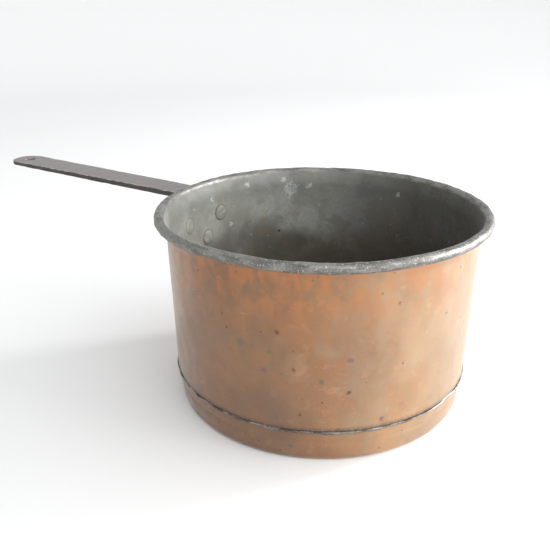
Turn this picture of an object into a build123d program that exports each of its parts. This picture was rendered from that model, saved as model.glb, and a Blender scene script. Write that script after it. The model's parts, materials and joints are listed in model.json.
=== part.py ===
from build123d import *
import math
import os

# Copper saucepan with a riveted iron strap handle. Lengths are in millimetres.
# Frame: origin at the centre of the flat underside, +Z up, handle along -X.

# Sheet, coat and wire
SHEET = 1.15                # copper sheet of the wall and of the base
TIN = 0.2                   # tin coat over the inside and the rim
WIRE_RADIUS = 2.1           # iron wire inside the rolled rim

# Rim: a roll of sheet around the wire
RIM_RADIUS = 120.0          # from the pan's axis to the wire's centre
RIM_HEIGHT = 143.2          # wire's centre above the table
ROLL_END_ANGLE = -118.0     # where the rolled edge is tucked in, about the wire's centre
TIN_END_ANGLE = -80.0       # where the tin coat ends under the roll

# Wall: a cone that opens a little upwards, then flares into the roll
WALL_TOP_RADIUS = 115.2     # outer face where the flare starts
WALL_BOTTOM_RADIUS = 112.65  # outer face at the lower edge
FLARE_START = 131.5         # height where the flare starts
FLARE_LEAN = 22.0           # degrees the sheet leans outward where it meets the roll
WALL_BOTTOM = 24.5          # height of the wall's lower edge

# Base: a raised cup with its upstand inside the wall
BASE_RADIUS = 110.4         # outer face just above the bottom corner
BASE_CORNER = 4.0           # outer radius of the bottom corner
SOLDER_FILM = 0.15          # solder between the upstand and the wall
LAP = 12.0                  # how far the upstand reaches up inside the wall

# Solder bead outside the lap
BEAD_PROUD = 1.25           # how far the bead stands out past the wall
BEAD_ABOVE = 2.1            # above the wall's lower edge
BEAD_BELOW = 2.0            # below the wall's lower edge

# Brazed seam of the wall
SEAM_WIDTH = 2.0            # along the wall's face
SEAM_AZIMUTH = 90.0         # degrees from +X, on the +Y side

# Handle: flat strap bent down into a palm
STRAP_TOP = 138.9           # height of the strap's top face
STRAP_THICK = 4.8
STRAP_ROOT_WIDTH = 25.6     # at the bend
STRAP_TIP_WIDTH = 30.6      # where the rounded end starts
TIP_REACH = 370.5           # from the pan's axis to the tip
BEND_RADIUS = 8.0           # outside radius of the bend, at the top face
EDGE_ROUND = 0.8            # worn edges of the strap
HOLE_REACH = 352.0          # from the pan's axis to the hanging hole's centre
HOLE_RADIUS = 4.25
PALM_THICK = 3.4
PALM_FRONT = 33.0           # the palm's reach across to -Y, past the outer rivet
PALM_BACK = 25.5            # its reach across to +Y
PALM_SHOULDER_TOP = 122.5   # the palm's widest stretch, upper and lower end
PALM_SHOULDER_BOTTOM = 112.5
PALM_SHOULDER_ROUND = 6.5
PALM_POINT = 83.5           # height of the palm's lower point before rounding
PALM_POINT_ROUND = 8.5
LEG_LENGTH = 9.0            # strap below the bend that thins into the palm

# Rivets
RIVET_SHANK_RADIUS = 3.0
INNER_HEAD_RADIUS = 6.5
INNER_HEAD_HEIGHT = 1.8
OUTER_HEAD_RADIUS = 6.0
OUTER_HEAD_HEIGHT = 2.8
HEAD_SKIRT = 1.5            # depth of a head below its edge, before it is shaped to the wall
SHANK_OVERLAP = 0.5         # how far a shank runs into each head
RIVETS = {                  # name: (degrees about the pan's axis from the handle, height)
    "rivet_front": (12.8, 116.2),
    "rivet_back": (-8.8, 117.2),
    "rivet_lower": (0.0, 99.2),
}

# Worked out from the values above
ROLL_RADIUS = WIRE_RADIUS + SHEET
WALL_SLOPE = (WALL_TOP_RADIUS - WALL_BOTTOM_RADIUS) / (FLARE_START - WALL_BOTTOM)
CUP_TOP = WALL_BOTTOM + LAP
ROLL_START_ANGLE = 180.0 - FLARE_LEAN
PALM_NECK = STRAP_TOP - BEND_RADIUS
HANDLE_AZIMUTH = 180.0
HOLE_OVERRUN = 2.0          # extra length of the cutters for the rivet holes


def wall_outer(height):
    """Radius of the wall's outer face, below the flare."""
    return WALL_BOTTOM_RADIUS + WALL_SLOPE * (height - WALL_BOTTOM)


def wall_inner(height):
    """Radius of the wall's inner face, below the flare."""
    return wall_outer(height) - SHEET


def on_rim(radius, angle):
    """Point at an angle and a distance from the wire's centre, as (r, z)."""
    turn = math.radians(angle)
    return (RIM_RADIUS + radius * math.cos(turn), RIM_HEIGHT + radius * math.sin(turn))


def rim_arc(radius, start, end):
    """Arc about the wire's centre, in the plane of the profile."""
    middle = (start + end) / 2
    return ThreePointArc(on_rim(radius, start), on_rim(radius, middle), on_rim(radius, end))


def flare(low_radius, distance):
    """Curve from a point on the wall at FLARE_START out to the inner side of the roll."""
    lean = math.radians(FLARE_LEAN)
    top = on_rim(distance, ROLL_START_ANGLE)
    return Spline((low_radius, FLARE_START), top, tangents=[(WALL_SLOPE, 1), (math.tan(lean), 1)])


def spin(outline):
    """Solid of revolution about the pan's axis from closed lines in (r, z)."""
    profile = Plane.XZ * make_face(outline)
    return revolve(profile, axis=Axis.Z)


def side_wall_blank():
    """Wall, flare and roll in one piece of sheet, all the way round."""
    inner_foot = (wall_inner(WALL_BOTTOM), WALL_BOTTOM)
    outer_foot = (wall_outer(WALL_BOTTOM), WALL_BOTTOM)
    inner_top = (wall_inner(FLARE_START), FLARE_START)
    outer_top = (wall_outer(FLARE_START), FLARE_START)
    outline = [
        Line(outer_foot, inner_foot),
        Line(inner_foot, inner_top),
        flare(inner_top[0], ROLL_RADIUS),
        rim_arc(ROLL_RADIUS, ROLL_START_ANGLE, ROLL_END_ANGLE),
        Line(on_rim(ROLL_RADIUS, ROLL_END_ANGLE), on_rim(WIRE_RADIUS, ROLL_END_ANGLE)),
        rim_arc(WIRE_RADIUS, ROLL_END_ANGLE, ROLL_START_ANGLE),
        flare(outer_top[0], WIRE_RADIUS),
        Line(outer_top, outer_foot),
    ]
    return spin(outline)


def seam_slice():
    """Block that holds the seam's stretch of the wall."""
    reach = RIM_RADIUS + 2 * ROLL_RADIUS
    block = Box(reach, SEAM_WIDTH, RIM_HEIGHT * 2, align=(Align.MIN, Align.CENTER, Align.MIN))
    return Rot(0, 0, SEAM_AZIMUTH) * block


def rim_wire():
    """Iron wire ring inside the roll."""
    return Pos(0, 0, RIM_HEIGHT) * Torus(RIM_RADIUS, WIRE_RADIUS)


def cup_outer(height):
    """Radius of the base cup's outer face, above its bottom corner."""
    top = wall_inner(CUP_TOP) - SOLDER_FILM
    slope = (top - BASE_RADIUS) / (CUP_TOP - BASE_CORNER)
    return BASE_RADIUS + slope * (height - BASE_CORNER)


def corner_arc(radius, corner):
    """Quarter arc from the side of the base cup down to a flat face."""
    centre = (BASE_RADIUS - BASE_CORNER, BASE_CORNER)
    half = corner * math.sqrt(0.5)
    side = (radius, BASE_CORNER)
    middle = (centre[0] + half, centre[1] - half)
    floor = (centre[0], BASE_CORNER - corner)
    return ThreePointArc(side, middle, floor)


def base_cup():
    """Raised base: flat floor, small corner, and an upstand that fits inside the wall."""
    inner_corner = BASE_CORNER - SHEET
    outer_side = corner_arc(BASE_RADIUS, BASE_CORNER)
    inner_side = corner_arc(BASE_RADIUS - SHEET, inner_corner)
    outline = [
        Line((0, 0), outer_side @ 1),
        outer_side,
        Line(outer_side @ 0, (cup_outer(CUP_TOP), CUP_TOP)),
        Line((cup_outer(CUP_TOP), CUP_TOP), (cup_outer(CUP_TOP) - SHEET, CUP_TOP)),
        Line((cup_outer(CUP_TOP) - SHEET, CUP_TOP), inner_side @ 0),
        inner_side,
        Line(inner_side @ 1, (0, SHEET)),
        Line((0, SHEET), (0, 0)),
    ]
    return spin(outline)


def base_solder():
    """Solder film inside the lap, ending in a raised bead below the wall's edge."""
    bead_foot = WALL_BOTTOM - BEAD_BELOW
    bead_head = WALL_BOTTOM + BEAD_ABOVE
    foot = (cup_outer(bead_foot), bead_foot)
    head = (wall_outer(bead_head), bead_head)
    crest = (wall_outer(WALL_BOTTOM) + BEAD_PROUD, WALL_BOTTOM)
    outline = [
        Line((cup_outer(CUP_TOP), CUP_TOP), foot),
        ThreePointArc(foot, crest, head),
        Line(head, (wall_outer(WALL_BOTTOM), WALL_BOTTOM)),
        Line((wall_outer(WALL_BOTTOM), WALL_BOTTOM), (wall_inner(WALL_BOTTOM), WALL_BOTTOM)),
        Line((wall_inner(WALL_BOTTOM), WALL_BOTTOM), (wall_inner(CUP_TOP), CUP_TOP)),
        Line((wall_inner(CUP_TOP), CUP_TOP), (cup_outer(CUP_TOP), CUP_TOP)),
    ]
    return spin(outline)


def tin_lining_blank():
    """Tin coat from the floor up the wall and over the roll, before the rivet holes."""
    step = CUP_TOP + TIN
    metal_corner = corner_arc(BASE_RADIUS - SHEET, BASE_CORNER - SHEET)
    tin_corner = corner_arc(BASE_RADIUS - SHEET - TIN, BASE_CORNER - SHEET - TIN)
    cup_lip = cup_outer(CUP_TOP) - SHEET
    wall_step = wall_inner(CUP_TOP)
    metal_top = (wall_inner(FLARE_START), FLARE_START)
    tin_top = (wall_inner(FLARE_START) - TIN, FLARE_START)
    outline = [
        Line((0, SHEET), metal_corner @ 1),
        metal_corner,
        Line(metal_corner @ 0, (cup_lip, CUP_TOP)),
        Line((cup_lip, CUP_TOP), (wall_step, CUP_TOP)),
        Line((wall_step, CUP_TOP), metal_top),
        flare(metal_top[0], ROLL_RADIUS),
        rim_arc(ROLL_RADIUS, ROLL_START_ANGLE, TIN_END_ANGLE),
        Line(on_rim(ROLL_RADIUS, TIN_END_ANGLE), on_rim(ROLL_RADIUS + TIN, TIN_END_ANGLE)),
        rim_arc(ROLL_RADIUS + TIN, TIN_END_ANGLE, ROLL_START_ANGLE),
        flare(tin_top[0], ROLL_RADIUS + TIN),
        Line(tin_top, (wall_inner(step) - TIN, step)),
        Line((wall_inner(step) - TIN, step), (cup_lip - TIN, step)),
        Line((cup_lip - TIN, step), tin_corner @ 0),
        tin_corner,
        Line(tin_corner @ 1, (0, SHEET + TIN)),
        Line((0, SHEET + TIN), (0, SHEET)),
    ]
    return spin(outline)


def cone_shell(inner_offset, outer_offset):
    """Ring that follows the wall's outer face, between two distances out from it."""
    low = PALM_POINT
    high = STRAP_TOP + STRAP_THICK
    outline = Polyline(
        (wall_outer(low) + inner_offset, low),
        (wall_outer(low) + outer_offset, low),
        (wall_outer(high) + outer_offset, high),
        (wall_outer(high) + inner_offset, high),
        close=True,
    )
    return spin(outline)


def palm():
    """Shield-shaped riveting plate that hugs the wall under the bend."""
    half_root = STRAP_ROOT_WIDTH / 2
    outline = Polyline(
        (half_root, PALM_NECK),
        (PALM_BACK, PALM_SHOULDER_TOP),
        (PALM_BACK, PALM_SHOULDER_BOTTOM),
        (0, PALM_POINT),
        (-PALM_FRONT, PALM_SHOULDER_BOTTOM),
        (-PALM_FRONT, PALM_SHOULDER_TOP),
        (-half_root, PALM_NECK),
        close=True,
    )
    shield = make_face(outline)
    shoulders = shield.vertices().filter_by(lambda v: abs(v.X) > PALM_BACK - 1)
    shield = fillet(shoulders, PALM_SHOULDER_ROUND)
    point = shield.vertices().sort_by(Axis.Y)[0]
    shield = fillet(point, PALM_POINT_ROUND)
    plate = extrude(Plane.YZ * shield, -2 * RIM_RADIUS)
    return plate & cone_shell(0, PALM_THICK)


def bent_bar():
    """Strap, bend and short leg in side view, as wide as the widest part of the strap."""
    wall_face = -wall_outer(PALM_NECK)
    leg_foot = PALM_NECK - LEG_LENGTH
    bend_x = wall_face - BEND_RADIUS
    half_turn = math.sqrt(0.5)
    under_radius = BEND_RADIUS - STRAP_THICK
    under_face = STRAP_TOP - STRAP_THICK
    top_bend = ThreePointArc(
        (bend_x, STRAP_TOP),
        (bend_x + BEND_RADIUS * half_turn, PALM_NECK + BEND_RADIUS * half_turn),
        (wall_face, PALM_NECK),
    )
    under_bend = ThreePointArc(
        (wall_face - STRAP_THICK, PALM_NECK),
        (bend_x + under_radius * half_turn, PALM_NECK + under_radius * half_turn),
        (bend_x, under_face),
    )
    outline = [
        Line((-TIP_REACH, STRAP_TOP), (bend_x, STRAP_TOP)),
        top_bend,
        Line((wall_face, PALM_NECK), (wall_face, leg_foot)),
        Line((wall_face, leg_foot), (wall_face - PALM_THICK, leg_foot)),
        Line((wall_face - PALM_THICK, leg_foot), (wall_face - STRAP_THICK, PALM_NECK)),
        under_bend,
        Line((bend_x, under_face), (-TIP_REACH, under_face)),
        Line((-TIP_REACH, under_face), (-TIP_REACH, STRAP_TOP)),
    ]
    return extrude(Plane.XZ * make_face(outline), STRAP_TIP_WIDTH, both=True)


def strap_plan():
    """Strap seen from above: slightly wider towards a half-round end."""
    half_root = STRAP_ROOT_WIDTH / 2
    half_tip = STRAP_TIP_WIDTH / 2
    end_centre = -(TIP_REACH - half_tip)
    root = -wall_outer(PALM_NECK) + STRAP_THICK
    sides = make_face(
        Polyline(
            (end_centre, half_tip),
            (end_centre, -half_tip),
            (root, -half_root),
            (root, half_root),
            close=True,
        )
    )
    return sides + Pos(end_centre, 0) * Circle(half_tip)


def strap():
    """Forged strap with worn edges and its hanging hole."""
    bend_x = -wall_outer(PALM_NECK) - BEND_RADIUS
    bar = bent_bar() & extrude(strap_plan(), 2 * RIM_HEIGHT)
    flat_faces = bar.faces().filter_by(Plane.XY).sort_by(Axis.Z)
    flat_faces = flat_faces.filter_by(lambda f: f.center().Z > STRAP_TOP - STRAP_THICK - 1)
    worn = ShapeList()
    for face in flat_faces:
        worn += face.edges().filter_by(lambda e: e.center().X < bend_x - 1)
    bar = fillet(worn, EDGE_ROUND)
    hole = Cylinder(HOLE_RADIUS, 4 * STRAP_THICK)
    return bar - Pos(-HOLE_REACH, 0, STRAP_TOP - STRAP_THICK / 2) * hole


def radial_place(azimuth, height):
    """Place whose Z axis points outward from the pan's axis, at a height."""
    return Pos(0, 0, height) * Rot(0, 0, azimuth) * Rot(0, 90, 0)


def shank(azimuth, height, overrun=0.0):
    """Rivet shank through the lining, the wall and the palm."""
    inside = wall_inner(height) - TIN - overrun
    outside = wall_outer(height) + PALM_THICK + overrun
    middle = (inside + outside) / 2
    cylinder = Cylinder(RIVET_SHANK_RADIUS, outside - inside)
    return radial_place(azimuth, height) * Pos(0, 0, middle) * cylinder


def dome(radius, height):
    """Low button head on +Z, part of a ball, with a short skirt below it."""
    ball_radius = (radius**2 + height**2) / (2 * height)
    half_turn = math.asin(radius / ball_radius) / 2
    across = ball_radius * math.sin(half_turn)
    up = height - ball_radius * (1 - math.cos(half_turn))
    outline = [
        ThreePointArc((radius, 0), (across, up), (0, height)),
        Line((0, height), (0, -HEAD_SKIRT)),
        Line((0, -HEAD_SKIRT), (radius, -HEAD_SKIRT)),
        Line((radius, -HEAD_SKIRT), (radius, 0)),
    ]
    return spin(outline)


def rivet(azimuth, height):
    """Copper rivet with a flattened head inside and a button head on the palm."""
    place = radial_place(azimuth, height)
    inside = wall_inner(height) - TIN
    outside = wall_outer(height) + PALM_THICK
    inner_head = dome(INNER_HEAD_RADIUS, INNER_HEAD_HEIGHT)
    inner_head = place * Pos(0, 0, inside) * Rot(180, 0, 0) * inner_head
    outer_head = place * Pos(0, 0, outside) * dome(OUTER_HEAD_RADIUS, OUTER_HEAD_HEIGHT)
    gripped = cone_shell(-SHEET - TIN, PALM_THICK)
    through = shank(azimuth, height, SHANK_OVERLAP)
    return through + (inner_head - gripped) + (outer_head - gripped)


def build():
    """Every piece of the saucepan by name."""
    places = {name: (HANDLE_AZIMUTH + turn, height) for name, (turn, height) in RIVETS.items()}
    holes = Part() + [shank(*place, HOLE_OVERRUN) for place in places.values()]
    wall = side_wall_blank() - holes
    pieces = {
        "side_wall": wall - seam_slice(),
        "wall_seam": side_wall_blank() & seam_slice(),
        "rim_wire": rim_wire(),
        "base_cup": base_cup(),
        "base_solder": base_solder(),
        "tin_lining": tin_lining_blank() - holes,
        "handle": strap() + palm() - holes,
    }
    for name, place in places.items():
        pieces[name] = rivet(*place)
    return pieces


os.makedirs("parts", exist_ok=True)
for name, piece in build().items():
    export_step(piece, f"parts/{name}.step")
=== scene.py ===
"""Old copper saucepan in sheet copper, tin, solder and forged iron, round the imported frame. In metres."""
import json
import math

import bmesh
import bpy
import numpy as np
from mathutils import Matrix, Vector


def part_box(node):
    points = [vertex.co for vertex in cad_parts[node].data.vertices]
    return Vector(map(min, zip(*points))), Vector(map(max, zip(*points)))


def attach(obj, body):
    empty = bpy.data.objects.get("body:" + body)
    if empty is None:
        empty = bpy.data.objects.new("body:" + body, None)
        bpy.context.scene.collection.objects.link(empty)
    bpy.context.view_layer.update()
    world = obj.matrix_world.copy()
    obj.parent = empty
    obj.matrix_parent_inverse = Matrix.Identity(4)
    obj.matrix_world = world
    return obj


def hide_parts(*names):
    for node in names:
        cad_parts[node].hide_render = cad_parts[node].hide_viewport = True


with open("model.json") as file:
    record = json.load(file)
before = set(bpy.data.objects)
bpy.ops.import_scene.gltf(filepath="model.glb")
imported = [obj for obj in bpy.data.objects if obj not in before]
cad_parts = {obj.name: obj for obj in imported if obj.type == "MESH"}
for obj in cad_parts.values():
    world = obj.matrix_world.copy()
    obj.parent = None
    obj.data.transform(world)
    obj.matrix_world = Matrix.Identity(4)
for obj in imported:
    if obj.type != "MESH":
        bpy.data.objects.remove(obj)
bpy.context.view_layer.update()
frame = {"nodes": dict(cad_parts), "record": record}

MM = 0.001
TURN = 2 * math.pi

# Sizes read from the frame
wire_low, wire_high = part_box("rim_wire")
bead_low, bead_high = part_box("base_solder")
iron_low, iron_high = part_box("handle")

WIRE = (wire_high.z - wire_low.z) / 2
RIM_HEIGHT = (wire_high.z + wire_low.z) / 2
RIM_RADIUS = wire_high.y - WIRE
RIM_CENTRE = (RIM_RADIUS, RIM_HEIGHT)
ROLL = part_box("tin_lining")[1].y - RIM_RADIUS  # radius of the roll, tin included
WALL_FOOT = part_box("side_wall")[0].z
CUP_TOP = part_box("base_cup")[1].z
BEAD_FOOT = bead_low.z
BEAD_RADIUS = bead_high.y
STRAP_TOP = iron_high.z
TIP = -iron_low.x

# Sizes of the looks
SHEET = 1.15 * MM  # thickness of the copper
TIN = 0.2 * MM  # thickness of its tin coat
FLARE_START = 131.5 * MM
FLARE_LEAN = math.radians(22)  # how far the wall leans out where it meets the roll
BASE_CORNER = 4 * MM
CREASE_HEIGHT = 15 * MM  # faint crease round the base cup
TUCK_ANGLE = math.radians(-118)  # where the rolled edge of the copper ends
COAT_ANGLE = math.radians(-62)  # where the tin thins out under the roll
COAT_RAGGED = math.radians(20)  # how far its edge wanders there
RAGGED_FROM = math.radians(20)  # where on the roll the wandering begins
AROUND = 420  # steps round the pan
ALL_ROUND = np.linspace(0, TURN, AROUND, endpoint=False)[:, None]
SEAM_AZIMUTH = math.radians(90)
SEAM_HALF = 1.1 * MM  # half the brazed seam's width
BEAD_HALF = 0.9 * MM  # half the solder line's width
BEAD_ROOT = 0.15 * MM  # how far the solder line reaches into the metal behind it
BEAD_SHY = 0.15 * MM  # how far its crest stays, on the whole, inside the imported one
BEAD_BACK = 5.2 * MM  # height of its hidden inner side
FILM_START = 3.2 * MM  # height in the lap at which the line has thinned to a film

# Camera, placed about the pan's axis
VIEW_AZIMUTH = math.radians(31)
VIEW_RADIUS = 466.6 * MM
VIEW_HEIGHT = 281.6 * MM
VIEW_AIM = Vector((-30.0, -18.0, 89.0)) * MM
VIEW_ROLL = math.radians(0.6)
LENS = 42.4


# ---- small maths

def smooth(low, high, value):
    """0 below low, 1 above high, and a soft step between."""
    t = np.clip((value - low) / (high - low), 0, 1)
    return t * t * (3 - 2 * t)


def waves(azimuth, height, seed, turns, length, count=9):
    """Random smooth field, about -1 to 1, that closes on itself round the pan."""
    draw = np.random.default_rng(seed)
    total = 0.0
    for _ in range(count):
        around = int(draw.integers(turns[0], turns[1] + 1))
        along = draw.uniform(-1, 1) * TURN / length
        total = total + np.cos(around * azimuth + along * height + draw.uniform(0, TURN))
    return total * math.sqrt(2 / count) * 0.6


def ripple(u, v, seed, length, count=9):
    """Random smooth field, about -1 to 1, over a plane."""
    draw = np.random.default_rng(seed)
    total = 0.0
    for _ in range(count):
        heading = draw.uniform(0, TURN)
        pitch = length * draw.uniform(0.6, 1.6)
        phase = draw.uniform(0, TURN)
        total = total + np.cos((u * math.cos(heading) + v * math.sin(heading)) * TURN / pitch + phase)
    return total * math.sqrt(2 / count) * 0.6


def curve(start, start_slope, end, end_slope, count):
    """Points on a smooth bend (a Hermite curve) from start to end."""
    t = np.linspace(0, 1, count)[:, None]
    start, start_slope, end, end_slope = map(np.array, (start, start_slope, end, end_slope))
    return (
        (2 * t**3 - 3 * t**2 + 1) * start
        + (t**3 - 2 * t**2 + t) * start_slope
        + (3 * t**2 - 2 * t**3) * end
        + (t**3 - t**2) * end_slope
    )


def round_axis(radius, azimuth, height):
    """Points (x, y, z) at a radius, an azimuth and a height."""
    points = np.broadcast_arrays(radius * np.cos(azimuth), radius * np.sin(azimuth), height)
    return np.stack(points, -1)


def arc(centre, radius, start, end, count):
    """Points on an arc, angles in radians."""
    angle = np.linspace(start, end, count)
    return np.stack([centre[0] + radius * np.cos(angle), centre[1] + radius * np.sin(angle)], 1)


# ---- wall and cup, measured on the frame

def radius_at(node, height):
    """Largest distance from the pan's axis of a CAD node's corners at a height."""
    corners = [corner.co for corner in frame["nodes"][node].data.vertices]
    return max(math.hypot(co.x, co.y) for co in corners if abs(co.z - height) < 0.3 * MM)


FOOT_RADIUS = radius_at("side_wall", WALL_FOOT)
FLARE_RADIUS = radius_at("side_wall", FLARE_START)
WALL_SLOPE = (FLARE_RADIUS - FOOT_RADIUS) / (FLARE_START - WALL_FOOT)
FILM = radius_at("base_solder", CUP_TOP) - radius_at("base_cup", CUP_TOP)
CUP_RADIUS = radius_at("base_cup", BASE_CORNER)


def wall_outer(height):
    """Radius of the wall's outer face at a height."""
    return FOOT_RADIUS + WALL_SLOPE * (height - WALL_FOOT)


def cup_outer(height):
    """Radius of the base cup's outer face at a height."""
    top = wall_outer(CUP_TOP) - SHEET - FILM
    return CUP_RADIUS + (top - CUP_RADIUS) * (height - BASE_CORNER) / (CUP_TOP - BASE_CORNER)


# ---- mesh building

def sharpen(mesh, degrees):
    """Smooth faces, with hard edges where the surface turns by more than an angle."""
    mesh.shade_smooth()
    mesh.set_sharp_from_angle(angle=math.radians(degrees))


def turn_outward(mesh):
    """Make every face of a closed body look outward."""
    body = bmesh.new()
    body.from_mesh(mesh)
    bmesh.ops.recalc_face_normals(body, faces=body.faces)
    body.to_mesh(mesh)
    body.free()


def shell(name, under, over, around=False, pole=False, sharp=38):
    """Closed body between two grids of points, each (steps along, points across, 3).

    around joins the last step to the first; otherwise the two ends are closed.
    pole means that the first point across is one shared point, on an axis.
    """
    steps, across, _ = under.shape
    points = np.concatenate([under.reshape(-1, 3), over.reshape(-1, 3)])
    half = steps * across

    def at(side, i, k):
        i = i % steps if around else i
        if pole and k == 0:
            i = 0
        return side * half + i * across + k

    faces = []
    rows = steps if around else steps - 1
    for i in range(rows):
        for k in range(across - 1):
            faces.append((at(0, i, k), at(0, i, k + 1), at(0, i + 1, k + 1), at(0, i + 1, k)))
            faces.append((at(1, i, k), at(1, i + 1, k), at(1, i + 1, k + 1), at(1, i, k + 1)))
        last = across - 1
        faces.append((at(0, i, last), at(1, i, last), at(1, i + 1, last), at(0, i + 1, last)))
        if not pole:
            faces.append((at(0, i, 0), at(0, i + 1, 0), at(1, i + 1, 0), at(1, i, 0)))
    if not around:
        last = steps - 1
        for k in range(across - 1):
            faces.append((at(0, 0, k), at(1, 0, k), at(1, 0, k + 1), at(0, 0, k + 1)))
            faces.append((at(0, last, k), at(0, last, k + 1), at(1, last, k + 1), at(1, last, k)))
    loops = [list(dict.fromkeys(face)) for face in faces]
    loops = [corners for corners in loops if len(corners) > 2]
    used = sorted({corner for corners in loops for corner in corners})
    new_index = {old: new for new, old in enumerate(used)}
    mesh = bpy.data.meshes.new(name)
    mesh.from_pydata(points[used].tolist(), [], [[new_index[c] for c in corners] for corners in loops])
    turn_outward(mesh)
    sharpen(mesh, sharp)
    piece = bpy.data.objects.new(name, mesh)
    bpy.context.scene.collection.objects.link(piece)
    return piece


def place(piece, slot, paint, *nodes):
    """Give a piece its material, and let it stand for its CAD nodes."""
    if not piece.data.materials:
        piece.data.materials.append(paint)
    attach(piece, "root")
    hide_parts(*nodes)
    return piece


# ---- how the pan is out of true

DENTS = (  # azimuth in degrees, height, depth and size in mm: small knocks in the wall
    (-84, 62, 0.7, 9),
    (-38, 97, 0.5, 11),
    (-118, 48, 0.5, 8),
    (22, 70, 0.9, 12),
    (128, 88, 0.8, 10),
    (205, 52, 0.8, 12),
    (64, 108, 0.6, 8),
)


def wall_push(azimuth, height):
    """How far the hammered sheet stands out from a true turned shape."""
    lift = smooth(0, RIM_HEIGHT, height)
    push = 0.45 * MM * lift * np.cos(2 * azimuth + 0.8)
    push = push + 0.25 * MM * lift * np.cos(3 * azimuth - 0.4)
    push = push + 0.16 * MM * waves(azimuth, height, 11, (4, 14), 90 * MM)
    push = push + 0.075 * MM * waves(azimuth, height, 12, (16, 44), 34 * MM, 16)
    for degrees, where, depth, size in DENTS:
        turn = np.angle(np.exp(1j * (azimuth - math.radians(degrees))))
        spot = ((turn * RIM_RADIUS) ** 2 + (height - where * MM) ** 2) / (size * MM) ** 2
        push = push - depth * MM * np.exp(-spot)
    return push


def rim_lift(azimuth):
    """How far the rim rises and dips round the pan."""
    return 0.35 * MM * waves(azimuth, 0, 21, (2, 7), 1) + 0.12 * MM * waves(azimuth, 0, 22, (9, 26), 1)


def warp(azimuth, profile):
    """Turn (r, z) points, shape (points, 2) or (steps, points, 2), round the axis, out of true."""
    profile = np.broadcast_to(profile, (azimuth.shape[0],) + profile.shape[-2:])
    azimuth = np.broadcast_to(azimuth.reshape(azimuth.shape[0], -1), profile.shape[:2])
    radius = profile[..., 0]
    height = profile[..., 1]
    shell_share = smooth(0.80, 0.96, radius / FOOT_RADIUS)
    radius = radius + wall_push(azimuth, height) * shell_share
    height = height + rim_lift(azimuth) * smooth(FLARE_START - 25 * MM, RIM_HEIGHT - ROLL, height)
    return round_axis(radius, azimuth, height)


def up_the_wall(offset, tube, low, end_angle):
    """Profile up one face of the wall, through the flare and round the roll.

    offset is the face's distance inward from the wall's outer face, and tube its distance
    from the wire's centre.
    """
    height = np.linspace(low, FLARE_START, 40)
    wall = np.stack([wall_outer(height) - offset, height], 1)
    lean = np.array([math.sin(FLARE_LEAN), math.cos(FLARE_LEAN)])
    side = np.array([RIM_RADIUS - tube * math.cos(FLARE_LEAN), RIM_HEIGHT + tube * math.sin(FLARE_LEAN)])
    rise = side[1] - FLARE_START
    bend = curve(wall[-1], (WALL_SLOPE * rise, rise), side, lean * rise, 13)
    roll = arc(RIM_CENTRE, tube, math.pi - FLARE_LEAN, end_angle, 28)
    return np.concatenate([wall, bend[1:], roll[1:]])


# ---- turned pieces

def seam_edge(height, side):
    """Azimuth of one ragged edge of the brazed seam at a height."""
    ragged = 0.35 * MM * ripple(height, 0 * height, 31 + side, 7 * MM)
    return SEAM_AZIMUTH + side * (SEAM_HALF + ragged) / RIM_RADIUS


def sheet_sector(name, first, last, sweep, steps, proud=0.0):
    """Part of the rolled sheet between two ragged edges of the seam.

    first and last are the edges' sides, and sweep is added to the last one's azimuth.
    """
    outer = up_the_wall(-proud, WIRE, WALL_FOOT, TUCK_ANGLE)
    inner = up_the_wall(SHEET, ROLL - TIN, WALL_FOOT, TUCK_ANGLE)
    share = np.linspace(0, 1, steps)[:, None]
    start = seam_edge(outer[:, 1], first)
    end = seam_edge(outer[:, 1], last) + sweep
    azimuth = start * (1 - share) + end * share
    return shell(name, warp(azimuth, inner), warp(azimuth, outer))


def make_wall():
    """Copper wall and roll, open along the seam."""
    return sheet_sector("wall_copper", 1, -1, TURN, AROUND)


def make_seam():
    """Brass brazing that joins the two ends of the sheet."""
    return sheet_sector("seam_braze", -1, 1, 0, 5, proud=0.06 * MM)


def make_wire():
    """Iron wire inside the roll."""
    tube = WIRE - 0.02 * MM
    inner = arc(RIM_CENTRE, tube, math.pi, 0, 13)
    outer = arc(RIM_CENTRE, tube, math.pi, TURN, 13)
    return shell("rim_iron", warp(ALL_ROUND, outer), warp(ALL_ROUND, inner), around=True)


def floor_dip(radius):
    """Hammered unevenness of the flat bottom, fading out at its edge."""
    across, back = radius * np.cos(ALL_ROUND), radius * np.sin(ALL_ROUND)
    fade = smooth(0, 12 * MM, CUP_RADIUS - BASE_CORNER - radius)
    hollow = 0.5 * MM * smooth(CUP_RADIUS - 8 * MM, 0, radius)
    knocks = 0.12 * MM * ripple(across, back, 41, 24 * MM, 14)
    return (hollow + 0.16 * MM + knocks) * fade


def cup_profile(inset):
    """One face of the base cup, from the axis to its lip, a distance in from its outer face."""
    centre = (CUP_RADIUS - BASE_CORNER, BASE_CORNER)
    floor_line = np.linspace((0, inset), (centre[0], inset), 18)
    bend = arc(centre, BASE_CORNER - inset, -math.pi / 2, 0, 9)
    height = np.linspace(BASE_CORNER, CUP_TOP, 26)
    crease = 0.35 * MM * np.exp(-(((height - CREASE_HEIGHT) / (1.1 * MM)) ** 2))
    belly = 0.3 * MM * np.exp(-(((height - CREASE_HEIGHT + 5 * MM) / (4 * MM)) ** 2))
    side = np.stack([cup_outer(height) - inset - crease + belly, height], 1)
    return np.concatenate([floor_line, bend[1:], side[1:]])


def with_dip(profile):
    """Profile for every azimuth with the floor's unevenness added."""
    full = np.repeat(profile[None], AROUND, 0).copy()
    full[..., 1] += floor_dip(full[..., 0]) * (profile[:, 1] < BASE_CORNER)
    return full


def make_base():
    """Raised copper base with its upstand inside the wall."""
    under = warp(ALL_ROUND, with_dip(cup_profile(0)))
    over = warp(ALL_ROUND, with_dip(cup_profile(SHEET)))
    return shell("base_copper", under, over, around=True, pole=True)


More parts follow.
